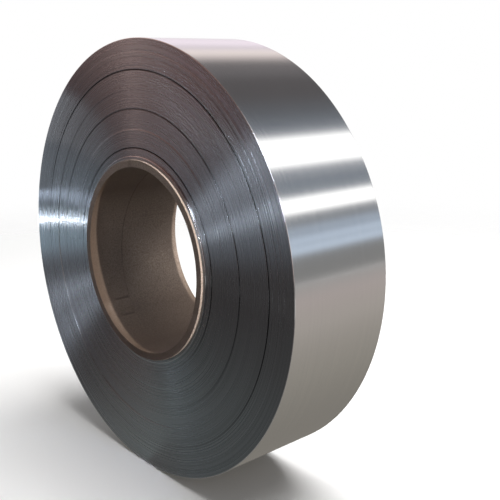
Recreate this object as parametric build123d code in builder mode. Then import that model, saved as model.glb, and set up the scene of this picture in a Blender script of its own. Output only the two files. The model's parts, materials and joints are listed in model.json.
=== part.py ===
"""A coil of aluminium strip wound on a paper core, lying on its rim.

The coil's axis runs along Y, with its front end towards -Y. The origin is on the floor, under the
middle of the whole coil.
"""

import os

from build123d import *

# Driving dimensions of the strip, the coil and its core, in millimetres
strip_width = 183.0
strip_gauge = 0.5
coil_diameter = 700.0
core_bore = 300.0
core_wall = 12.0

# How far the core stands out of the coil's front end, and how far a lap slips sideways at most
core_proud = 5.0
lap_slip = 2.0

# Bands of laps from the core outwards: where each ends, as a share of the build-up, and how far it
# has slipped towards the back end, as a share of lap_slip. The first laps slipped to the front.
band_end_shares = (0.028, 0.259, 0.581, 0.898)
band_slip_shares = (-1.0, 0.0, 0.2, -0.1)

# Rings where a few laps wandered together while the coil was wound: a groove in the front end and
# a ridge on the back end
ring_shares = (0.097, 0.421, 0.743)
ring_laps = 3

# Sizes and places that follow from these
coil_radius = coil_diameter / 2
bore_radius = core_bore / 2
core_radius = bore_radius + core_wall
build_up = coil_radius - core_radius
last_laps_radius = core_radius + band_end_shares[-1] * build_up
ring_width = ring_laps * strip_gauge
axis_height = coil_radius

# The core is cut to the strip's width. Its proud end and the ridges on the back are the two ends
# of the whole coil, which is centred on the origin.
core_length = strip_width
coil_middle = (core_proud - lap_slip) / 2
core_middle = coil_middle - core_proud

# Planes and axis: a half section with the axis along its X, and cross sections of coil and core
coil_axis = Axis((0, 0, axis_height), (0, 1, 0))
half_section = Plane(origin=(0, coil_middle, axis_height), x_dir=(0, 1, 0), z_dir=(1, 0, 0))
coil_section = Plane(origin=(0, coil_middle, axis_height), x_dir=(1, 0, 0), z_dir=(0, -1, 0))
core_section = Plane(origin=(0, core_middle, axis_height), x_dir=(1, 0, 0), z_dir=(0, -1, 0))

# The wound strip: turned bands of laps, each as wide as the strip and shifted by its slip
with BuildPart() as strip_coil:
    with BuildSketch(half_section):
        band_start = core_radius
        for end_share, slip_share in zip(band_end_shares, band_slip_shares):
            band_end = core_radius + end_share * build_up
            with Locations((slip_share * lap_slip, (band_start + band_end) / 2)):
                Rectangle(strip_width, band_end - band_start)
            band_start = band_end
        for ring_share in ring_shares:
            ring_radius = core_radius + ring_share * build_up
            with Locations((-strip_width / 2, ring_radius)):
                Rectangle(2 * lap_slip, ring_width, mode=Mode.SUBTRACT)
            with Locations((lap_slip, ring_radius)):
                Rectangle(strip_width, ring_width)
    revolve(axis=coil_axis)
    # The last laps end in the strip's square-cut tail: two half turns, the second about a centre
    # half a gauge to the side, so that the strip climbs by its own gauge in one turn
    with BuildSketch(coil_section):
        with BuildLine():
            CenterArc((0, 0), coil_radius, 180, 180)
            CenterArc((-strip_gauge / 2, 0), coil_radius + strip_gauge / 2, 0, 180)
            Line((-coil_radius - strip_gauge, 0), (-coil_radius, 0))
        make_face()
        Circle(last_laps_radius, mode=Mode.SUBTRACT)
    extrude(amount=strip_width / 2, both=True)

# The paper tube that the strip is wound on, tight in the first lap
with BuildPart() as core_tube:
    with BuildSketch(core_section):
        Circle(core_radius)
        Circle(bore_radius, mode=Mode.SUBTRACT)
    extrude(amount=core_length / 2, both=True)

os.makedirs("parts", exist_ok=True)
strip_coil.part.label = "strip_coil"
core_tube.part.label = "core_tube"
export_step(strip_coil.part, "parts/strip_coil.step")
export_step(core_tube.part, "parts/core_tube.step")
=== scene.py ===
"""Looks of a coil of aluminium strip on its paper core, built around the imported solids.

Sizes are in metres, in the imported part's own frame: the coil's axis runs along Y, its front end faces
-Y and the floor is at Z = 0.
"""

import json
import logging
import math
from dataclasses import dataclass
from enum import Enum

import bmesh
import bpy
import numpy as np
from bpy.types import Material, Node, NodeSocket, NodeTree, Object
from mathutils import Matrix, Vector


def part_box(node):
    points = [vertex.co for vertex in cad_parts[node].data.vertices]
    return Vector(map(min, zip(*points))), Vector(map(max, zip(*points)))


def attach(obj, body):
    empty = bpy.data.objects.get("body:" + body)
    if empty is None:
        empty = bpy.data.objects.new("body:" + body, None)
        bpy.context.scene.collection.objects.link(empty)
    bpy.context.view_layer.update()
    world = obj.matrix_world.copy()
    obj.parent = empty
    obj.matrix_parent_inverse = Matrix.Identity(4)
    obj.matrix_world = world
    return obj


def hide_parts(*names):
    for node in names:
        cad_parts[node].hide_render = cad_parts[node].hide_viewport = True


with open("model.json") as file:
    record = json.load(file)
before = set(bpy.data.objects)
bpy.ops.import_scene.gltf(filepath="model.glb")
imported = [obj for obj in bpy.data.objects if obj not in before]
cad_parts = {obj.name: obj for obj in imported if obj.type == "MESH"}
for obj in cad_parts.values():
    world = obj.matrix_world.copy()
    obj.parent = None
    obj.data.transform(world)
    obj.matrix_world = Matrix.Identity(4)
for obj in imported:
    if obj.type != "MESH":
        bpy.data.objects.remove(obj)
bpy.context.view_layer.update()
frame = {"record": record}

MM = 0.001
BODY = "root"

# Hints that come up often
Place = tuple[float, float, float]
Pair = tuple[float, float]
Floats = tuple[float, ...]
Faces = list[tuple[int, ...]]

# The photograph's side in pixels, and the camera's sensor width
IMAGE_SIDE = 500
SENSOR_MM = 36.0

# The most that a lap slips sideways, as in the solids
LAP_SLIP = 2.0 * MM

# Angles of the points on a rounded edge and on the finer lip of a groove
ROUND_TURNS = np.radians([0, 22, 45, 68, 90])
LIP_TURNS = np.radians([0, 30, 60, 90])

# Angle between two faces from which their edge is sharp, on the pieces and on a card, where none is
SHARP_DEG = 40.0
NEVER_SHARP_DEG = 180.0

# Quarter turn of an anisotropic gloss, as a share of a full turn
ACROSS = 0.25

log = logging.getLogger("strip_coil")


class End(Enum):
    """The two ends of the coil: the sign of the Y direction that each one faces."""

    FRONT = -1
    BACK = 1


class Surface(Enum):
    """The surfaces of the wound strip, by material index."""

    ROLLED = 0
    SLIT = 1


def linear(colour: str) -> tuple[float, float, float, float]:
    """Turn an sRGB hex colour into the linear colour that shaders take.

    Args:
        colour: six hex digits, with or without a leading #.

    Returns:
        Linear red, green, blue and an alpha of 1.
    """
    digits = colour.lstrip("#")
    parts = [int(digits[i:i + 2], 16) / 255 for i in (0, 2, 4)]
    toned = [p / 12.92 if p <= 0.04045 else ((p + 0.055) / 1.055) ** 2.4 for p in parts]
    return (*toned, 1.0)


def lamp_colour(brightness: float, tint: str) -> np.ndarray:
    """Give the linear red, green and blue of something that glows."""
    return brightness * np.array(linear(tint)[:3])


def add_node(tree: NodeTree, kind: str, inputs: dict | None = None, **settings: object) -> Node:
    """Add a node with its settings, values and links.

    Args:
        tree: the node tree that gets the node.
        kind: Blender's name of the node type.
        inputs: socket name or number to a value, or to the output socket that feeds it.
        settings: properties of the node itself.

    Returns:
        The new node.
    """
    node = tree.nodes.new(kind)
    for name, value in settings.items():
        setattr(node, name, value)
    for key, value in (inputs or {}).items():
        if isinstance(value, NodeSocket):
            tree.links.new(value, node.inputs[key])
        else:
            node.inputs[key].default_value = value
    return node


def new_material(name: str) -> tuple[Material, NodeTree]:
    """Make an empty node material.

    Args:
        name: name of the material.

    Returns:
        The material and its node tree.
    """
    material = bpy.data.materials.new(name)
    material.use_nodes = True
    material.node_tree.nodes.clear()
    return material, material.node_tree


def coil_coordinates(tree: NodeTree, axis_height: float) -> tuple[NodeSocket, ...]:
    """Add the nodes that give a point's place about the coil's axis.

    Args:
        tree: the material's node tree.
        axis_height: height of the coil's axis above the floor.

    Returns:
        Sockets with the radius, the angle from +X in radians, and the place along Y.
    """
    place = add_node(tree, "ShaderNodeTexCoord").outputs["Object"]
    split = add_node(tree, "ShaderNodeSeparateXYZ", {"Vector": place})
    rise = add_node(tree, "ShaderNodeMath", {0: split.outputs["Z"], 1: axis_height}, operation="SUBTRACT")
    flat = add_node(tree, "ShaderNodeCombineXYZ", {"X": split.outputs["X"], "Y": rise.outputs[0]})
    radius = add_node(tree, "ShaderNodeVectorMath", {0: flat.outputs[0]}, operation="LENGTH")
    angle = add_node(tree, "ShaderNodeMath", {
        0: rise.outputs[0], 1: split.outputs["X"]}, operation="ARCTAN2")
    return radius.outputs["Value"], angle.outputs[0], split.outputs["Y"]


@dataclass(frozen=True)
class MillAluminium:
    """Cold-rolled aluminium, mill finish: a satin mirror with faint rolling lines along the strip."""

    # The rolls leave fine lines along the strip, which spread a lamp's image across the width and keep
    # its edges sharp round the coil. Real lines are far finer than the 2.5 mm drawn here, so as to show.
    # A line runs on for about a radian, which is 350 mm on the outside.
    axis_height: float
    light: str = "c4c3c1"
    dark: str = "b9b9b9"
    roughness: float = 0.17
    roughness_spread: float = 0.15
    anisotropy: float = 0.6
    line_mm: float = 2.5

    def material(self) -> Material:
        """Make the material.

        Returns:
            The material, with its rolling lines round the coil.
        """
        material, tree = new_material("aluminium_mill_finish")
        _, angle, along = coil_coordinates(tree, self.axis_height)
        across = add_node(tree, "ShaderNodeMath", {
            0: along, 1: 1 / (self.line_mm * MM)}, operation="MULTIPLY")
        place = add_node(tree, "ShaderNodeCombineXYZ", {"X": across.outputs[0], "Y": angle})
        lines = add_node(tree, "ShaderNodeTexNoise", {
            "Vector": place.outputs[0], "Scale": 1.0, "Detail": 3.0})
        tone = add_node(tree, "ShaderNodeMix", {
            "Factor": lines.outputs["Fac"], "A": linear(self.dark), "B": linear(self.light)},
            data_type="RGBA")
        rough = add_node(tree, "ShaderNodeMapRange", {
            "Value": lines.outputs["Fac"], "To Min": self.roughness * (1 - self.roughness_spread),
            "To Max": self.roughness * (1 + self.roughness_spread)})
        tangent = add_node(tree, "ShaderNodeTangent", direction_type="RADIAL", axis="Y")
        shader = add_node(tree, "ShaderNodeBsdfPrincipled", {
            "Base Color": tone.outputs["Result"], "Metallic": 1.0, "Roughness": rough.outputs["Result"],
            "Anisotropic": self.anisotropy, "Anisotropic Rotation": ACROSS,
            "Tangent": tangent.outputs[0]})
        add_node(tree, "ShaderNodeOutputMaterial", {"Surface": shader.outputs[0]})
        return material


@dataclass(frozen=True)
class SlitAluminium:
    """Slit edges of aluminium strip, lap on lap: satin and dark, with narrow glints along the radius."""

    # Each lap's edge is a fine ring, so a lamp shows as one narrow streak from the bore to the rim. The
    # laps are drawn about twice as coarse as a 0.5 mm gauge, so that they show. A lap keeps its tone for
    # 1 / arc_share radians, about 430 mm half way out. Grooves get painted shade inside, darker with
    # depth.
    axis_height: float
    light: str = "8c8f91"
    dark: str = "7b7f80"
    # Colour of the painted shade deep in the grooves
    groove_shade: str = "242222"
    shade_layer: str = "shade"
    roughness: float = 0.27
    anisotropy: float = 1.0
    lap_mm: float = 1.1
    arc_share: float = 0.6
    glint_mm: float = 3.0
    glint_share: float = 0.05
    bump_mm: float = 0.05

    def material(self) -> Material:
        """Make the material.

        Returns:
            The material. The mesh's own shade layer gives the grooves painted shade.
        """
        material, tree = new_material("aluminium_slit_edges")
        radius, angle, _ = coil_coordinates(tree, self.axis_height)
        laps = add_node(tree, "ShaderNodeMath", {
            0: radius, 1: 1 / (self.lap_mm * MM)}, operation="MULTIPLY")
        arc = add_node(tree, "ShaderNodeMath", {0: angle, 1: self.arc_share}, operation="MULTIPLY")
        place = add_node(tree, "ShaderNodeCombineXYZ", {"X": laps.outputs[0], "Y": arc.outputs[0]})
        lines = add_node(tree, "ShaderNodeTexNoise", {
            "Vector": place.outputs[0], "Scale": 1.0, "Detail": 1.0})
        spread = add_node(tree, "ShaderNodeMapRange", {
            "Value": lines.outputs["Fac"], "From Min": 0.3, "From Max": 0.7})
        tone = add_node(tree, "ShaderNodeMix", {
            "Factor": spread.outputs["Result"], "A": linear(self.dark), "B": linear(self.light)},
            data_type="RGBA")
        # Painted shade in the grooves, from the mesh's shade layer
        shade = add_node(tree, "ShaderNodeVertexColor", layer_name=self.shade_layer)
        shaded = add_node(tree, "ShaderNodeMix", {
            "Factor": shade.outputs["Color"], "A": tone.outputs["Result"], "B": linear(self.groove_shade)},
            data_type="RGBA")
        glints = add_node(tree, "ShaderNodeTexNoise", {
            "Vector": place.outputs[0], "Scale": self.lap_mm / self.glint_mm, "Detail": 2.0})
        rough = add_node(tree, "ShaderNodeMapRange", {
            "Value": glints.outputs["Fac"], "From Min": 0.35, "From Max": 0.65,
            "To Min": self.roughness * (1 + self.glint_share),
            "To Max": self.roughness * (1 - self.glint_share)})
        bump = add_node(tree, "ShaderNodeBump", {
            "Height": lines.outputs["Fac"], "Strength": 1.0, "Distance": self.bump_mm * MM})
        tangent = add_node(tree, "ShaderNodeTangent", direction_type="RADIAL", axis="Y")
        shader = add_node(tree, "ShaderNodeBsdfPrincipled", {
            "Base Color": shaded.outputs["Result"], "Metallic": 1.0, "Roughness": rough.outputs["Result"],
            "Normal": bump.outputs[0], "Anisotropic": self.anisotropy, "Anisotropic Rotation": ACROSS,
            "Tangent": tangent.outputs[0]})
        add_node(tree, "ShaderNodeOutputMaterial", {"Surface": shader.outputs[0]})
        return material


@dataclass(frozen=True)
class KraftBoard:
    """Spiral-wound kraft board: matt brown paper with short fibres, dirt clouds and painted shade."""

    # Wound paper is matt and fibrous, and takes up oil and dirt in clouds. Real fibres are far finer
    # than the 2.5 mm drawn here, so as to show.
    light: str = "c0aea0"
    dark: str = "6d5e54"
    # Colour of the dirt clouds and of the painted shade from the mesh's layer
    stain_and_shade: str = "36271a"
    dirt_and_shade_layer: str = "dirt_and_shade"
    roughness: float = 0.85
    sheen: float = 0.3
    fibre_mm: float = 2.5
    stain_mm: float = 30.0
    bump_mm: float = 0.12

    def material(self) -> Material:
        """Make the material.

        Returns:
            The material. The mesh's own layer adds painted shade and smudges.
        """
        material, tree = new_material("kraft_board_spiral_wound")
        place = add_node(tree, "ShaderNodeTexCoord").outputs["Object"]
        fibres = add_node(tree, "ShaderNodeTexNoise", {
            "Vector": place, "Scale": 1 / (self.fibre_mm * MM), "Detail": 4.0, "Roughness": 0.7})
        clouds = add_node(tree, "ShaderNodeTexNoise", {
            "Vector": place, "Scale": 1 / (self.stain_mm * MM), "Detail": 4.0})
        spread = add_node(tree, "ShaderNodeMapRange", {
            "Value": fibres.outputs["Fac"], "From Min": 0.27, "From Max": 0.73})
        tone = add_node(tree, "ShaderNodeMix", {
            "Factor": spread.outputs["Result"], "A": linear(self.dark), "B": linear(self.light)},
            data_type="RGBA")
        cloudy = add_node(tree, "ShaderNodeMapRange", {
            "Value": clouds.outputs["Fac"], "From Min": 0.45, "From Max": 0.8, "To Max": 0.4})
        # Painted shade and smudges from the mesh's layer, mixed in like the dirt
        dirt_and_shade = add_node(tree, "ShaderNodeVertexColor", layer_name=self.dirt_and_shade_layer)
        dirt_and_shade_share = add_node(tree, "ShaderNodeMath", {
            0: cloudy.outputs["Result"], 1: dirt_and_shade.outputs["Color"]}, operation="MAXIMUM")
        dirt_and_shade_tone = add_node(tree, "ShaderNodeMix", {
            "Factor": dirt_and_shade_share.outputs[0], "A": tone.outputs["Result"], "B": linear(self.stain_and_shade)},
            data_type="RGBA")
        bump = add_node(tree, "ShaderNodeBump", {
            "Height": fibres.outputs["Fac"], "Strength": 0.4, "Distance": self.bump_mm * MM})
        shader = add_node(tree, "ShaderNodeBsdfPrincipled", {
            "Base Color": dirt_and_shade_tone.outputs["Result"], "Roughness": self.roughness, "IOR": 1.45,
            "Specular IOR Level": self.sheen, "Normal": bump.outputs[0]})
        add_node(tree, "ShaderNodeOutputMaterial", {"Surface": shader.outputs[0]})
        return material


@dataclass(frozen=True)
class LitCard:
    """Thin card lit from within: it glows in the colour of the mesh's own glow layer."""

    # Card with a lamp behind it shows no grain and no highlight, only its even colour
    glow_layer: str = "glow"

    def material(self) -> Material:
        """Make the material.

        Returns:
            The material.
        """
        material, tree = new_material("lit_cards")
        colour = add_node(tree, "ShaderNodeVertexColor", layer_name=self.glow_layer)
        glow = add_node(tree, "ShaderNodeEmission", {"Color": colour.outputs["Color"]})
        add_node(tree, "ShaderNodeOutputMaterial", {"Surface": glow.outputs[0]})
        return material


@dataclass(frozen=True)
class PaleFloor:
    """Floor in flat paint: it takes soft shadows, and fades out into the white room."""

    # Flat paint has no gloss, so it shows the shadow and mirrors nothing
    radius: float
    fade_start: float = 0.5
    colour: str = "f0efee"

    def material(self) -> Material:
        """Make the material.

        Returns:
            The material, which is clear at the floor's edge.
        """
        material, tree = new_material("pale_floor")
        place = add_node(tree, "ShaderNodeTexCoord").outputs["Object"]
        reach = add_node(tree, "ShaderNodeVectorMath", {0: place}, operation="LENGTH")
        fade = add_node(tree, "ShaderNodeMapRange", {
            "Value": reach.outputs["Value"], "From Min": self.fade_start, "From Max": self.radius},
            interpolation_type="SMOOTHSTEP")
        matt = add_node(tree, "ShaderNodeBsdfDiffuse", {"Color": linear(self.colour)})
        clear = add_node(tree, "ShaderNodeBsdfTransparent")
        mixed = add_node(tree, "ShaderNodeMixShader", {
            0: fade.outputs["Result"], 1: matt.outputs[0], 2: clear.outputs[0]})
        add_node(tree, "ShaderNodeOutputMaterial", {"Surface": mixed.outputs[0]})
        return material


def turned_points(profile: np.ndarray, angles: np.ndarray, axis_height: float) -> np.ndarray:
    """Turn a profile about the coil's axis.

    Args:
        profile: rows of (place along Y, radius), one set for all angles or one for each angle.
        angles: angles from +X, in radians.
        axis_height: height of the axis above the floor.

    Returns:
        Points as an array of angles by profile points by 3.
    """
    sets = np.broadcast_to(profile, (len(angles), *profile.shape[-2:]))
    along, radius = sets[..., 0], sets[..., 1]
    across = radius * np.cos(angles)[:, None]
    height = axis_height + radius * np.sin(angles)[:, None]
    return np.stack([across, along, height], -1)


def near_places(degrees: np.ndarray, places: Floats, half_deg: float) -> np.ndarray:
    """Give 1 within a half width of some places round the coil, falling to 0 at twice that."""
    return np.max([np.clip(2 - np.abs(degrees - place) / half_deg, 0.0, 1.0) for place in places], 0)


def ribbon_faces(count: int) -> Faces:
    """Give the faces between a number of lines of two points each."""
    return [(2 * i, 2 * i + 1, 2 * i + 3, 2 * i + 2) for i in range(count - 1)]


def mesh_object(name: str, points: np.ndarray, faces: Faces, sharp_deg: float) -> Object:
    """Make a mesh object with outward normals, smooth but for its sharp edges.

    Args:
        name: name of the piece.
        points: vertices as rows of x, y, z.
        faces: vertex numbers of each face.
        sharp_deg: angle between two faces from which their edge is sharp.

    Returns:
        The object, linked to the scene.
    """
    mesh = bpy.data.meshes.new(name)
    mesh.from_pydata(points.tolist(), [], faces)
    shell = bmesh.new()
    shell.from_mesh(mesh)
    bmesh.ops.recalc_face_normals(shell, faces=shell.faces)
    shell.to_mesh(mesh)
    shell.free()
    mesh.shade_smooth()
    mesh.set_sharp_from_angle(angle=math.radians(sharp_deg))
    made = bpy.data.objects.new(name, mesh)
    bpy.context.scene.collection.objects.link(made)
    return made


def paint_layer(piece: Object, name: str, colours: np.ndarray) -> None:
    """Give a piece's points a layer of red, green, blue and alpha that its material reads."""
    layer = piece.data.color_attributes.new(name, "FLOAT_COLOR", "POINT")
    layer.data.foreach_set("color", colours.ravel())


def carry(piece: Object, node: str) -> None:
    """Let a piece ride on the part in place of a CAD node.

    Args:
        piece: the piece.
        node: the CAD node that it stands for.
    """
    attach(piece, BODY)
    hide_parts(node)
    log.info("%s: %d faces, in place of %s", piece.name, len(piece.data.polygons), node)


@dataclass
class WoundStrip:
    """The wound strip: one turned body with its lap edges on both ends and its tail outside."""

    outer_radius: float
    bore_radius: float
    width: float
    middle: float
    gauge: float
    lap_slip: float
    columns: int = 228
    least_laps: int = 3
    lap_pitch: float = 1.3 * MM
    lap_stray: float = 0.010 * MM
    rim_round: float = 0.9 * MM
    edge_step: float = 0.1 * MM
    edge_round: float = 0.2 * MM
    groove_width: float = 2.4 * MM
    groove_least_share: float = 0.06
    groove_deep_deg: float = 58.0
    first_steady_share: float = 0.35
    first_round_share: float = 0.3
    band_end_shares: Floats = (0.028, 0.259, 0.581, 0.898, 1.0)
    band_slip_shares: Floats = (-1.0, 0.0, 0.2, -0.1, 0.0)
    ring_shares: Floats = (0.097, 0.421, 0.743)
    faint_shares: Floats = (0.2587, 0.7765, 0.8454, 0.8976)
    faint_slip: float = 0.15 * MM
    faint_width_share: float = 0.25
    seed: int = 7

    @property
    def axis_height(self) -> float:
        """Height of the coil's axis: it lies on its rim."""
        return self.outer_radius

    @property
    def build_up(self) -> float:
        """Thickness of the winding."""
        return self.outer_radius - self.bore_radius

    def radius_at(self, share: float) -> float:
        """Radius at a share of the build-up."""
        return self.bore_radius + share * self.build_up

    def end_relief(self) -> np.ndarray:
        """Work out how far the laps have slipped towards the back end, from the bore outwards.

        Returns:
            Rows of (radius, slip, deep, rolled). The strip is equally wide all along, so both ends
            share them. Deep is the part of the slip that comes and goes round the coil, and rolled
            is 1 where the side of a lap shows.
        """
        draws = np.random.default_rng(self.seed)
        rows: list[Floats] = []
        start = self.bore_radius
        for end_share, slip_share in zip(self.band_end_shares, self.band_slip_shares):
            end = min(self.radius_at(end_share), self.outer_radius - self.rim_round)
            base = slip_share * self.lap_slip
            count = max(self.least_laps, round((end - start) / self.lap_pitch))
            inner = np.linspace(start + self.edge_step, end - self.edge_step, count)
            strays = draws.normal(0.0, self.lap_stray, count)
            strays[[0, -1]] = 0.0
            rows += [(r, base + s, 0.0, 0.0) for r, s in zip(inner, strays)]
            start = end
        rows = self.with_round_edge(rows)
        for share in self.ring_shares:
            rows = self.with_ring(rows, self.radius_at(share), self.groove_width, self.lap_slip)
        faint_width = self.groove_width * self.faint_width_share
        for share in self.faint_shares:
            rows = self.with_ring(rows, self.radius_at(share), faint_width, self.faint_slip)
        return np.array(rows)

    def with_round_edge(self, rows: list[Floats]) -> list[Floats]:
        """Round the outer edge of the first laps, which stand proud of the front end.

        Args:
            rows: rows of (radius, slip, deep, rolled) so far.

        Returns:
            The rows with the rounded edge.
        """
        edge = self.radius_at(self.band_end_shares[0])
        proud = self.band_slip_shares[0] * self.lap_slip
        rounding = self.lap_slip * self.first_round_share
        steady = self.first_steady_share
        curve = [(edge - rounding * (1 - math.sin(t)), proud + rounding * (1 - math.cos(t)))
                 for t in ROUND_TURNS]
        rounded = [(radius, steady * slip, (1 - steady) * slip, 1.0) for radius, slip in curve]
        inside = [(row[0], row[1] - (1 - steady) * proud, (1 - steady) * proud, 0.0) for row in rows
                  if row[0] < edge - rounding]
        foot = (edge, self.band_slip_shares[1] * self.lap_slip, 0.0, 1.0)
        outside = [row for row in rows if row[0] > edge]
        return inside + rounded + [foot] + outside

    def with_ring(self, rows: list[Floats], ring: float, width: float, depth: float) -> list[Floats]:
        """Put a ring of slipped laps into the relief, with rounded edges.

        Args:
            rows: rows of (radius, slip, deep, rolled) so far.
            ring: radius of the middle of the ring.
            width: width of the ring.
            depth: slip of the ring at its deepest.

        Returns:
            The rows with the ring in place of the laps that it takes.
        """
        half = width / 2
        soft = min(self.edge_round, half)
        base = next(row[1] for row in rows if row[0] > ring)
        fall = max(depth - base, 0.0)
        drop = min(soft, fall)
        lip = [(soft * (1 - math.sin(t)), drop * (1 - math.cos(t))) for t in LIP_TURNS]
        inner = [(ring - half - away, base, deep, 0.0) for away, deep in lip]
        outer = [(ring + half + away, base, deep, 0.0) for away, deep in reversed(lip)]
        groove = inner + [(ring - half, base, fall, 0.0), (ring + half, base, fall, 0.0)] + outer
        inside = [row for row in rows if row[0] < groove[0][0]]
        outside = [row for row in rows if row[0] > groove[-1][0]]
        return inside + groove + outside

    def rim(self, end: End) -> list[Pair]:
        """Draw the rounded rim of an end, from the end face to the outside.

        Args:
            end: the end to draw.

        Returns:
            Points as (along, radius).
        """
        face = self.middle + end.value * self.width / 2
        corner_along = face - end.value * self.rim_round
        corner_radius = self.outer_radius - self.rim_round
        rounded = [(corner_along + end.value * self.rim_round * math.cos(t),
                    corner_radius + self.rim_round * math.sin(t)) for t in ROUND_TURNS]
        return rounded + [(face - end.value * 2 * self.rim_round, self.outer_radius)]

    def profile(self) -> tuple[np.ndarray, np.ndarray, np.ndarray]:
        """Draw the half section as a loop: front end outwards, outside, back end inwards.

        Returns:
            Rows of (along, radius), the part of each slip that comes and goes, and which points are
            on the strip's rolled side.
        """
        relief = self.end_relief()
        front = [(self.middle - self.width / 2 + slip, radius) for radius, slip, *_ in relief]
        back = [(self.middle + self.width / 2 + slip, radius) for radius, slip, *_ in relief]
        front_rim = self.rim(End.FRONT)
        back_rim = self.rim(End.BACK)
        rims = len(front_rim) + len(back_rim)
        rows = np.array(front + front_rim + back_rim[::-1] + back[::-1])
        deep = np.concatenate([relief[:, 2], np.zeros(rims), relief[::-1, 2]])
        rolled = np.concatenate([relief[:, 3], np.ones(rims), relief[::-1, 3]]) > 0
        return rows, deep, rolled

    def groove_depths(self, angles: np.ndarray) -> np.ndarray:
        """Give how deep the grooves are at some angles, as a share of their deepest."""
        towards = (1 + np.cos(angles - math.radians(self.groove_deep_deg))) / 2
        return self.groove_least_share + (1 - self.groove_least_share) * towards ** 2

    def build(self) -> Object:
        """Turn the profile, with the last laps climbing by one gauge to the tail at -X.

        Returns:
            The wound strip as a closed mesh.
        """
        profile, deep, rolled = self.profile()
        angles = math.pi + np.linspace(0.0, 2 * math.pi, self.columns + 1)
        climb = np.where(angles > 2 * math.pi, (1 - np.cos(angles)) / 2, 0.0) * self.gauge
        last_laps = self.radius_at(self.band_end_shares[-2])
        share = np.clip((profile[:, 1] - last_laps) / (self.outer_radius - last_laps), 0.0, 1.0)
        slips = self.groove_depths(angles)[:, None] * deep[None]
        rows = np.repeat(profile[None], len(angles), 0)
        rows[..., 0] += slips
        rows[..., 1] += climb[:, None] * share[None]
        grid = turned_points(rows, angles, self.axis_height)
        count = len(profile)
        climbing = share > 0
        index = np.arange(self.columns * count).reshape(self.columns, count)
        tail_row = index[0].copy()
        tail_row[climbing] = self.columns * count + np.arange(climbing.sum())
        index = np.vstack([index, tail_row])
        points = np.vstack([grid[:-1].reshape(-1, 3), grid[-1][climbing]])
        after = np.roll(np.arange(count), -1)
        faces = [(index[i, j], index[i, after[j]], index[i + 1, after[j]], index[i + 1, j])
                 for i in range(self.columns) for j in range(count)]
        sides = rolled & rolled[after]
        slots = [Surface.ROLLED.value if side else Surface.SLIT.value for side in sides] * self.columns
        for j in range(count):
            corners = (tail_row[j], tail_row[after[j]], index[0, after[j]], index[0, j])
            face = tuple(dict.fromkeys(corners))
            if len(face) > 2:
                faces.append(face)
                slots.append(Surface.SLIT.value)
        made = mesh_object("wound_strip", points, faces, SHARP_DEG)
        made.data.polygons.foreach_set("material_index", slots)
        # Only the front end has grooves: on the back end the same laps stand out
        # Painted shade in the front grooves, darker with their depth
        shade = np.clip(slips / self.lap_slip, 0.0, 1.0) * (profile[:, 0] < self.middle)
        shades = np.concatenate([shade[:-1].ravel(), shade[-1][climbing]])
        paint_layer(made, SlitAluminium.shade_layer, np.repeat(shades, 4))
        return made

    def dress(self, piece: Object) -> None:
        """Give the strip its rolled and slit finishes."""
        piece.data.materials.append(MillAluminium(self.axis_height).material())
        piece.data.materials.append(SlitAluminium(self.axis_height).material())


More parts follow.
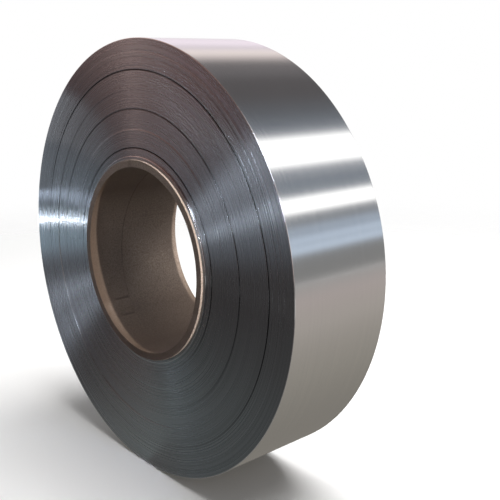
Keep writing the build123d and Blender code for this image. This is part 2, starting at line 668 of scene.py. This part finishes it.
@dataclass
class PaperCore:
    """The paper tube: its wall with a spiral seam and creases inside, and its ragged sawn ends."""

    outer_radius: float
    bore_radius: float
    front: float
    back: float
    axis_height: float
    columns: int = 720
    slack: float = 0.1 * MM
    edge_round: float = 0.5 * MM
    ragged: float = 0.45 * MM
    seam_place: float = 67.0 * MM
    seam_deg: float = 172.0
    seam_fall: float = 0.26 * MM
    seam_reach_deg: float = 78.0
    seam_fade_deg: float = 30.0
    seam_width: float = 1.6 * MM
    seam_depth: float = 0.8 * MM
    # Painted shade in the seam's groove
    seam_shade: float = 0.86
    crease_degs: Floats = (220.0, 232.5)
    crease_half_deg: float = 0.6
    crease_depth: float = 1.0 * MM
    # Painted shade in the creases
    crease_shade: float = 0.9
    before_shares: Floats = (0.15, 0.4, 0.55, 0.97)
    crease_shares: Floats = (0.0, 0.7, 1.0, 1.0)
    after_shares: Floats = (0.25, 0.5, 0.7, 0.92)
    # Painted shade on the bore wall: heavier before the seam than after, most at the top, least on the
    # left
    after_shades: Floats = (0.70, 0.57, 0.36, 0.43, 0.57)
    before_shades: Floats = (0.9, 0.88, 0.77, 0.73, 0.73)
    wall_degs: Floats = (60.0, 140.0, 170.0, 198.0, 229.0, 264.0, 330.0)
    wall_shades: Floats = (0.95, 0.95, 0.72, 0.44, 0.81, 0.92, 0.92)
    # Two darker streaks along the wall deep in the bore
    streak_degs: Floats = (155.0, 166.0)
    streak_half_deg: float = 2.2
    streak_darkness: float = 0.80
    smudge_degs: Floats = (134.0, 97.0)
    smudge_half_deg: float = 1.5
    smudge_soil: float = 0.82
    # Painted shade on the sawn ends, darker towards the bottom
    end_shades: Pair = (0.73, 1.0)
    # Share of the darkening kept on the ends' outer edges, and the darkening of the outer side
    side_darkness: float = 0.2
    side_start: float = 2.5 * MM
    plies: int = 8
    ply_depth: float = 0.2 * MM
    ply_stray_share: float = 0.3
    end_stray_most: float = 1.8 * MM
    side_stray_most: float = 0.9 * MM
    seed: int = 11

    def inside_rows(self, angles: np.ndarray) -> tuple[np.ndarray, np.ndarray]:
        """Draw the bore wall, front to back, at each angle.

        Args:
            angles: angles from +X, in radians.

        Returns:
            Points as (along, radius) for each angle, and the painted shade and streaks on each.
        """
        degrees = np.degrees(angles)
        away = (degrees - self.seam_deg + 180.0) % 360.0 - 180.0
        fade = np.clip((self.seam_reach_deg - np.abs(away)) / self.seam_fade_deg, 0.0, 1.0)
        seam = self.front + self.seam_place - self.seam_fall * away
        half = self.seam_width / 2
        creases = near_places(degrees, self.crease_degs, self.crease_half_deg)
        wall = np.interp(degrees, self.wall_degs, self.wall_shades)
        bells = [np.exp(-((degrees - place) / self.streak_half_deg) ** 2) for place in self.streak_degs]
        streaks = self.streak_darkness * np.max(bells, 0)
        bore = np.full_like(degrees, self.bore_radius)
        start = np.full_like(degrees, self.front + self.edge_round)
        lines = [(start, bore, self.before_shades[0])]
        for share, crease, darkening in zip(self.before_shares, self.crease_shares, self.before_shades[1:]):
            pressed = creases * crease
            lines.append((start + share * (seam - half - start), bore + pressed * self.crease_depth,
                          np.maximum(darkening * fade, pressed * self.crease_shade)))
        lines.append((seam - half, bore, self.before_shades[-1] * fade))
        lines.append((seam, bore + self.seam_depth * fade, self.seam_shade * fade))
        lines.append((seam + half, bore, self.after_shades[0] * fade))
        stop = np.full_like(degrees, self.back - self.edge_round)
        for share, darkening in zip(self.after_shares, self.after_shades[1:]):
            lines.append((seam + half + share * (stop - seam - half), bore, np.maximum(streaks, darkening)))
        lines.append((stop, bore, 0.0))
        rows = np.stack([np.stack([along, radius], -1) for along, radius, _ in lines], 1)
        dirt_and_shade = np.stack([np.maximum(darkening, wall) for _, _, darkening in lines], 1)
        return rows, dirt_and_shade

    def end_rows(self, end: End, angles: np.ndarray,
                 draws: np.random.Generator) -> tuple[np.ndarray, np.ndarray]:
        """Draw one sawn end from the bore outwards: shallow ply lines and ragged edges.

        Args:
            end: the end to draw.
            angles: angles from +X, in radians.
            draws: the source of the raggedness.

        Returns:
            Points as (along, radius) for each angle, and the painted shade and smudges on each.
        """
        face = self.front if end is End.FRONT else self.back
        outer = self.outer_radius - self.slack
        radii = np.linspace(self.bore_radius + self.edge_round, outer, 2 * self.plies + 1)
        groove_shade = np.array([(i % 2) * self.ply_depth for i in range(len(radii))])
        stray = np.abs(draws.normal(0.0, self.ragged, (len(angles), len(radii))))
        weight = np.full(len(radii), self.ply_stray_share)
        weight[[0, -1]] = 1.0
        back_off = np.minimum(groove_shade + stray * weight, self.end_stray_most)
        along = face - end.value * back_off
        radius = np.repeat(radii[None], len(angles), 0)
        side_stray = np.abs(draws.normal(0.0, self.ragged, len(angles)))
        radius[:, -1] -= np.minimum(side_stray, self.side_stray_most)
        high, low = self.end_shades
        dirt_and_shade = low + (high - low) * (1 + np.sin(angles)) / 2
        smudges = near_places(np.degrees(angles), self.smudge_degs, self.smudge_half_deg)
        dirt_and_shade = np.maximum(dirt_and_shade, self.smudge_soil * smudges)
        shares = np.r_[np.ones(len(radii) - 1), self.side_darkness]
        return np.stack([along, radius], -1), np.outer(dirt_and_shade, shares)

    def build(self) -> Object:
        """Turn the wall with its seam, creases and ragged ends.

        Returns:
            The core as a closed mesh.
        """
        draws = np.random.default_rng(self.seed)
        angles = np.linspace(0.0, 2 * math.pi, self.columns, endpoint=False)
        inside, inside_darkening = self.inside_rows(angles)
        back, back_darkening = self.end_rows(End.BACK, angles, draws)
        front, front_darkening = self.end_rows(End.FRONT, angles, draws)
        outer = self.outer_radius - self.slack
        side = np.array([[self.back - self.side_start, outer], [self.front + self.side_start, outer]])
        outside = np.broadcast_to(side, (self.columns, 2, 2))
        outside_darkening = np.full((self.columns, 2), self.side_darkness)
        rows = np.concatenate([inside, back, outside, front[:, ::-1]], 1)
        dirt_and_shade = np.concatenate([inside_darkening, back_darkening, outside_darkening, front_darkening[:, ::-1]], 1)
        grid = turned_points(rows, angles, self.axis_height)
        count = rows.shape[1]
        index = np.arange(self.columns * count).reshape(self.columns, count)
        after = np.roll(index, -1, 1)
        quads = np.stack([index, after, np.roll(after, -1, 0), np.roll(index, -1, 0)], -1).reshape(-1, 4)
        made = mesh_object("paper_core", grid.reshape(-1, 3), [tuple(q) for q in quads], SHARP_DEG)
        # The core's layer of painted shade, streaks and smudges
        paint_layer(made, KraftBoard.dirt_and_shade_layer, np.repeat(dirt_and_shade.ravel(), 4))
        return made

    def dress(self, piece: Object) -> None:
        """Give the core its kraft board finish."""
        piece.data.materials.append(KraftBoard().material())


@dataclass(frozen=True)
class Panel:
    """A band of the reflection vault: where it lies round the coil's axis, and how bright it is."""

    start_deg: float
    end_deg: float
    brightness: float
    tint: str = "ffffff"


@dataclass(frozen=True)
class Glow:
    """A soft glow on the mat or the screen before the coil's front end.

    It has a level at each of some turns, from 180 degrees at the left to 360 at the right, and a
    share of that level at each of some places outwards on the mat or up the screen.
    """

    turns: Floats
    levels: Floats
    places: Floats = (0.0,)
    shares: Floats = (1.0,)
    tint: str = "ffffff"

    def colour(self, turn: float, place: float) -> np.ndarray:
        """Give the glow's linear colour at a turn and a place."""
        level = np.interp(turn, self.turns, self.levels) * np.interp(place, self.places, self.shares)
        return lamp_colour(level, self.tint)


@dataclass(frozen=True)
class Bar:
    """A straight light bar or board that only the metal mirrors, from one end to the other.

    One that blocks is a flag: it keeps the light of a bar behind it off some of the laps.
    """

    name: str
    start: Place
    end: Place
    width: float
    brightness: float
    tint: str = "ffffff"
    blocks: bool = False


@dataclass
class MirrorCards:
    """Cards that only the metal mirrors.

    The outside mirrors a vault of panels, a ground card and a collar. The front end mirrors a mat and a
    screen with soft glows, and narrow bars that give its streaks.
    """

    axis_height: float
    face: float
    finish: Material
    radius: float = 2.2
    reach: float = 4.0
    overhang: float = 0.02
    edge_deg: float = 0.5
    panel_lines: int = 6
    screen_radius: float = 4.2
    screen_lines: int = 61
    lift: float = 2.0 * MM
    panels: tuple[Panel, ...] = (
        Panel(-9.0, 4.4, 0.36),
        Panel(5.6, 8.4, 1.5, "d4e4f8"),
        Panel(8.8, 9.6, 0.78, "d4e4f8"),
        Panel(10.0, 13.0, 1.36, "d4e4f8"),
        Panel(13.4, 14.4, 0.68, "d4e4f8"),
        Panel(14.8, 17.5, 0.92, "d4e4f8"),
        Panel(18.4, 24.0, 0.45, "e6ecf6"),
        Panel(24.8, 31.1, 2.8),
        Panel(32.4, 40.0, 0.46, "d9e6f8"),
        Panel(42.0, 46.5, 0.56, "dfe6f4"),
        Panel(48.6, 61.8, 2.8),
        Panel(64.0, 66.0, 0.41, "d8e4f8"),
        Panel(77.0, 79.0, 0.24, "e6ecf8"),
        Panel(88.0, 102.0, 0.175, "f4eef2"),
        Panel(106.0, 118.0, 0.25, "f6f0f4"),
        Panel(127.0, 132.0, 1.4, "fff2ee"),
        Panel(135.0, 139.0, 1.05, "f8eef8"),
        Panel(142.0, 150.0, 1.3, "fcf0fa"),
        Panel(152.0, 160.0, 1.1, "fcf0fa"),
    )
    # Glow of the ground card across X: low beside and under the coil, a painted shadow in the mirrored
    # floor
    ground: tuple[tuple[float, float, str], ...] = (
        (-2.0, 1.0, "f6f4f2"),
        (-0.6, 0.75, "f8f6f2"),
        (-0.05, 0.24, "fff8ec"),
        (0.05, 0.18, "fff8ec"),
        (0.45, 0.46, "fff8ec"),
        (0.8, 0.64, "fff6ee"),
        (1.3, 0.70, "fff2ee"),
        (2.1, 0.62, "f6f4f2"),
    )
    bars: tuple[Bar, ...] = (
        Bar("low_bar", (-0.742, -0.1615, 0.282), (-0.718, -0.2585, 0.282), 0.004, 160.0, "f0f5ff"),
        Bar("low_bar_far", (-1.95, -0.55, 0.045), (-1.78, -0.92, 0.045), 0.014, 38.0, "e4eeff"),
        Bar("low_flag", (-1.62, -0.30, 0.054), (-1.36, -0.86, 0.054), 0.108, 1.58, "cce6f8", True),
        Bar("high_flag", (-1.62, -0.30, 0.24), (-1.36, -0.86, 0.24), 0.20, 0.38, "cce6f8", True),
        Bar("upper_bar", (-1.40, -0.40, 0.24), (-1.27, -0.67, 0.24), 0.02, 11.0, "dce8ff"),
        Bar("front_strip_low", (0.75, -1.6, 0.90), (0.75, -4.0, 0.90), 0.05, 275.0, "e6eeff"),
        Bar("front_strip_high", (0.75, -1.0, 1.6), (0.75, -4.0, 1.6), 0.25, 38.0, "e6eeff"),
        Bar("left_board", (-0.55, -0.12, 0.56), (-0.55, -0.24, 0.56), 0.13, 1.4, "eef2fa"),
        Bar("left_board_low", (-0.55, -0.12, 0.44), (-0.55, -0.24, 0.44), 0.12, 0.8, "e4eefa"),
        Bar("edge_bar", (-2.6, -1.70, 0.62), (-2.5, -1.62, 1.6), 0.04, 4.2, "ffdcd4"),
        Bar("back_bar", (-1.9, 0.8, 0.42), (-1.5, 1.9, 0.42), 0.05, 40.0, "eef2fa"),
    )
    mat_radii: Floats = (0.0, 0.15, 0.3, 0.45, 0.8, 1.1, 1.3, 1.7, 2.0, 2.3, 2.7, 3.4)
    mat_glows: tuple[Glow, ...] = (
        Glow((180.0,), (0.135,), tint="fff2f2"),
        Glow((180.0, 215.0, 245.0, 270.0, 297.0, 322.0), (0.24, 0.30, 0.22, 0.08, 0.12, 0.12),
             (0.0, 0.15, 0.55), (1.1, 1.0, 0.0), "d8f0f0"),
        Glow((180.0, 200.0, 208.0, 222.0, 230.0, 258.0), (1.5, 1.3, 0.5, 0.5, 0.85, 0.0),
             (1.3, 1.7, 2.1, 2.5), (0.0, 1.0, 1.0, 0.0), "d8ebff"),
        Glow((192.0, 214.0), (0.9, 0.0), (2.1, 2.5), (0.0, 1.0), "d4ebff"),
        Glow((200.0, 215.0, 260.0), (0.0, 0.12, 0.05), (2.0, 2.6), (0.0, 1.0), "ff947e"),
        Glow((322.0, 336.0), (0.0, 1.7), (1.1, 1.3, 2.0, 2.3), (0.0, 1.0, 1.0, 0.0)),
    )
    collar_gap: float = 1.5 * MM
    collar_start_stop_step: Floats = (-75.0, 256.0, 1.5)
    collar_glow: Glow = Glow(
        (0.0, 15.0, 22.0, 42.0, 48.0, 57.0, 61.0, 68.0, 71.0, 77.0, 81.0, 93.0, 110.0, 140.0),
        (1.1, 1.1, 0.24, 0.22, 2.2, 2.2, 0.5, 0.46, 1.7, 1.6, 0.5, 0.42, 0.6, 0.4))
    screen_rises: Floats = (0.0, 5.0, 10.0, 15.0, 25.0, 40.0, 60.0, 80.0)
    screen_glows: tuple[Glow, ...] = (
        Glow((180.0, 205.0, 240.0, 280.0), (0.05, 0.16, 0.14, 0.06), (4.0, 10.0), (0.5, 1.0), "ffa294"),
        Glow((197.0, 213.0), (0.15, 0.0), (8.0, 16.0), (1.0, 0.0), "e8f0ff"),
        Glow((200.0, 226.0), (0.70, 0.0), (10.0, 20.0), (0.0, 1.0), "ffeae4"),
        Glow((198.0, 210.0, 235.0, 258.0), (0.0, 0.55, 0.50, 0.0),
             (8.0, 14.0, 40.0, 55.0), (0.0, 1.0, 1.0, 0.0), "ffcabe"),
        Glow((326.0, 342.0), (0.0, 1.8), tint="ffeae4"),
    )

    def card(self, name: str, points: np.ndarray, faces: Faces, colours: np.ndarray,
             blocks: bool = False) -> None:
        """Add a card that only the metal mirrors.

        Args:
            name: name of the card.
            points: its points.
            faces: the point numbers of its faces.
            colours: linear red, green and blue of each point, above 1 for a lamp.
            blocks: whether the card keeps the light of other cards off the metal.
        """
        made = mesh_object(name, points, faces, NEVER_SHARP_DEG)
        paint_layer(made, LitCard.glow_layer, np.hstack([colours, np.ones((len(colours), 1))]))
        made.data.materials.append(self.finish)
        made.visible_camera = False
        made.visible_diffuse = False
        made.visible_shadow = blocks

    def sweep(self, name: str, rows: list[tuple[float, float, np.ndarray]], near: float,
              far: float) -> None:
        """Add a card that runs along the coil's axis.

        Args:
            name: name of the card.
            rows: (x, z, colour) of the lines that it runs through.
            near: place along Y where it starts.
            far: place along Y where it ends.
        """
        points = np.array([(x, y, z) for x, z, _ in rows for y in (near, far)])
        colours = np.repeat(np.array([c for _, _, c in rows]), 2, 0)
        self.card(name, points, ribbon_faces(len(rows)), colours)

    def panel_rows(self, panel: Panel) -> list[tuple[float, float, np.ndarray]]:
        """Draw one panel of the vault.

        Args:
            panel: the panel.

        Returns:
            (x, z, colour) of the lines that it runs through. Neighbours blend between their edges.
        """
        colour = lamp_colour(panel.brightness, panel.tint)
        start = panel.start_deg + self.edge_deg
        stop = panel.end_deg - self.edge_deg
        turns = np.radians(np.linspace(start, stop, self.panel_lines))
        return [(self.radius * math.cos(t), self.axis_height + self.radius * math.sin(t), colour)
                for t in turns]

    def build(self) -> None:
        """Set the vault, the ground card, the bars, the mat with its screen, and the collar."""
        vault = [row for panel in self.panels for row in self.panel_rows(panel)]
        self.sweep("vault", vault, self.face - self.overhang, self.reach)
        ground = [(x, self.lift, lamp_colour(level, tint)) for x, level, tint in self.ground]
        self.sweep("ground_card", ground, self.face, self.reach)
        for bar in self.bars:
            self.build_bar(bar)
        self.build_screen()
        self.build_collar()

    def build_bar(self, bar: Bar) -> None:
        """Set one light bar, turned to face the middle of the coil's front end.

        Args:
            bar: the bar.
        """
        start = np.array(bar.start)
        end = np.array(bar.end)
        view = (start + end) / 2 - np.array((0.0, self.face, self.axis_height))
        side = np.cross(end - start, view)
        side *= bar.width / 2 / np.linalg.norm(side)
        points = np.array([start - side, end - side, end + side, start + side])
        colours = np.tile(lamp_colour(bar.brightness, bar.tint), (len(points), 1))
        self.card(bar.name, points, [(0, 1, 2, 3)], colours, bar.blocks)

    def build_screen(self) -> None:
        """Set a mat on the floor before the front end and a screen round it."""
        turns = np.linspace(180.0, 360.0, self.screen_lines)
        outward = [(math.cos(t), math.sin(t)) for t in np.radians(turns)]
        start = self.face - self.lift
        rings = [(radius, self.lift, self.mat_glows, radius) for radius in self.mat_radii]
        for rise in self.screen_rises:
            tilt = math.radians(rise)
            height = self.lift + self.screen_radius * math.sin(tilt)
            rings.append((self.screen_radius * math.cos(tilt), height, self.screen_glows, rise))
        points: list[Place] = []
        colours: list[np.ndarray] = []
        for radius, height, glows, place in rings:
            for turn, (x, y) in zip(turns, outward):
                points.append((radius * x, start + radius * y, height))
                colours.append(sum(glow.colour(turn, place) for glow in glows))
        count = len(outward)
        faces = [(i * count + j, i * count + j + 1, (i + 1) * count + j + 1, (i + 1) * count + j)
                 for i in range(len(rings) - 1) for j in range(count - 1)]
        self.card("screen", np.array(points), faces, np.array(colours))

    def build_collar(self) -> None:
        """Set a soft board round the front rim, which the outside mirrors to a viewer behind the coil."""
        turns = np.arange(*self.collar_start_stop_step)
        near = self.axis_height + self.collar_gap
        place = self.face + self.collar_gap
        points: list[Place] = []
        colours: list[np.ndarray] = []
        for turn in turns:
            across = math.cos(math.radians(turn))
            rise = math.sin(math.radians(turn))
            far = self.reach if rise >= 0 else min(self.reach, (self.axis_height - self.lift) / -rise)
            points += [(r * across, place, self.axis_height + r * rise) for r in (near, far)]
            colours += [self.collar_glow.colour(abs(turn - 90.0), 0.0)] * 2
        self.card("collar", np.array(points), ribbon_faces(len(turns)), np.array(colours))


@dataclass
class Studio:
    """The stage: floor, lamps, world and camera."""

    coil_radius: float
    coil_front: float
    strip: Object
    core: Object
    floor_radius: float = 2.6
    floor_sides: int = 96
    overhead_place: Place = (0.3, 0.6, 2.8)
    overhead_size: Pair = (2.6, 2.6)
    overhead_watts: float = 140.0
    key_across: float = 1.95
    key_before: float = 0.11
    key_height: float = 1.45
    key_size: Pair = (0.03, 0.3)
    key_watts: float = 90.0
    room_colour: str = "ffffff"
    fill: float = 0.22
    focal_px: float = 797.5
    azimuth_deg: float = 48.45
    elevation_deg: float = 10.26
    camera_shares: Place = (2.985, -1.979, 0.922)
    shift: float = -0.10

    def make_floor(self) -> None:
        """Lay a pale floor that fades into the white surroundings."""
        bpy.ops.mesh.primitive_circle_add(vertices=self.floor_sides, radius=self.floor_radius,
                                          fill_type="NGON")
        floor = bpy.context.object
        floor.name = "floor"
        floor.data.materials.append(PaleFloor(self.floor_radius).material())

    def make_lamp(self, name: str, place: Place, aim: Place, size: Pair, watts: float,
                  only: Object | None = None) -> None:
        """Add an area lamp.

        Args:
            name: the lamp's name.
            place: where it stands.
            aim: the point that it looks at.
            size: its width and height.
            watts: its power.
            only: the one piece that it lights, or nothing for all.
        """
        lamp = bpy.data.lights.new(name, "AREA")
        lamp.shape = "RECTANGLE"
        lamp.size, lamp.size_y = size
        lamp.energy = watts
        stand = bpy.data.objects.new(name, lamp)
        stand.location = place
        stand.rotation_euler = (Vector(aim) - Vector(place)).to_track_quat("-Z", "Y").to_euler()
        stand.visible_camera = False
        stand.visible_glossy = False
        shading = bpy.data.collections.new(f"{name}_shading")
        shading.objects.link(self.strip)
        shading.objects.link(self.core)
        stand.light_linking.blocker_collection = shading
        if only is not None:
            lit = bpy.data.collections.new(f"{name}_lit")
            lit.objects.link(only)
            stand.light_linking.receiver_collection = lit
        bpy.context.scene.collection.objects.link(stand)

    def make_lamps(self) -> None:
        """Set a soft lamp overhead, and small ones at the right that graze the core's two mouths."""
        self.make_lamp("overhead", self.overhead_place, (0.0, 0.0, 0.0), self.overhead_size,
                       self.overhead_watts)
        for name, end in (("front_key", End.FRONT), ("back_key", End.BACK)):
            face = end.value * abs(self.coil_front)
            place = (self.key_across, face + end.value * self.key_before, self.key_height)
            aim = (0.0, face, self.coil_radius)
            self.make_lamp(name, place, aim, self.key_size, self.key_watts, self.core)

    def make_world(self) -> None:
        """Light the room white, as seen and as mirrored, with a softer fill for matt surfaces."""
        world = bpy.data.worlds.new("studio")
        bpy.context.scene.world = world
        world.use_nodes = True
        tree = world.node_tree
        tree.nodes.clear()
        path = add_node(tree, "ShaderNodeLightPath")
        shiny = add_node(tree, "ShaderNodeMath", {
            0: path.outputs["Is Camera Ray"], 1: path.outputs["Is Glossy Ray"]}, operation="MAXIMUM")
        seen = add_node(tree, "ShaderNodeMath", {
            0: shiny.outputs[0], 1: path.outputs["Is Transmission Ray"]}, operation="MAXIMUM")
        level = add_node(tree, "ShaderNodeMapRange", {
            "Value": seen.outputs[0], "To Min": self.fill, "To Max": 1.0})
        sky = add_node(tree, "ShaderNodeBackground", {
            "Color": linear(self.room_colour), "Strength": level.outputs["Result"]})
        add_node(tree, "ShaderNodeOutputWorld", {"Surface": sky.outputs[0]})

    def make_camera(self) -> None:
        """Set the camera at the photograph's viewing angle."""
        camera = bpy.data.cameras.new("camera")
        camera.sensor_width = SENSOR_MM
        camera.lens = self.focal_px * SENSOR_MM / IMAGE_SIDE
        camera.shift_y = self.shift
        turn = math.radians(self.azimuth_deg)
        tilt = math.radians(self.elevation_deg)
        level = math.cos(tilt)
        back = Vector((math.sin(turn) * level, -math.cos(turn) * level, math.sin(tilt)))
        right = Vector((math.cos(turn), math.sin(turn), 0.0))
        up = back.cross(right)
        stand = bpy.data.objects.new("camera", camera)
        hub = Vector((0.0, self.coil_front, self.coil_radius))
        place = hub + Vector(self.camera_shares) * self.coil_radius
        stand.matrix_world = Matrix.Translation(place) @ Matrix((right, up, back)).transposed().to_4x4()
        bpy.context.scene.collection.objects.link(stand)
        bpy.context.scene.camera = stand

    def build(self) -> None:
        """Set the whole stage."""
        self.make_floor()
        MirrorCards(self.coil_radius, self.coil_front, LitCard().material()).build()
        self.make_lamps()
        self.make_world()
        self.make_camera()
        bpy.context.scene.view_settings.view_transform = "Standard"


def main() -> None:
    """Build the coil's pieces and the stage."""
    logging.basicConfig(level=logging.INFO, format="%(name)s %(message)s")
    coil_low, coil_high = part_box("strip_coil")
    core_low, core_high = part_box("core_tube")
    strip = WoundStrip(
        outer_radius=coil_high.x,
        bore_radius=core_high.x,
        width=coil_high.y - coil_low.y - 2 * LAP_SLIP,
        middle=(coil_low.y + coil_high.y) / 2,
        gauge=-(coil_low.x + coil_high.x),
        lap_slip=LAP_SLIP,
    )
    wound = strip.build()
    strip.dress(wound)
    carry(wound, "strip_coil")
    bore = frame["record"]["mounts"][0]["dims"]["r_mm"] * MM
    core = PaperCore(outer_radius=core_high.x, bore_radius=bore, front=core_low.y, back=core_high.y,
                     axis_height=strip.axis_height)
    tube = core.build()
    core.dress(tube)
    carry(tube, "core_tube")
    coil_front = strip.middle - strip.width / 2
    Studio(coil_radius=strip.outer_radius, coil_front=coil_front, strip=wound, core=tube).build()


if __name__ == "__main__":
    main()
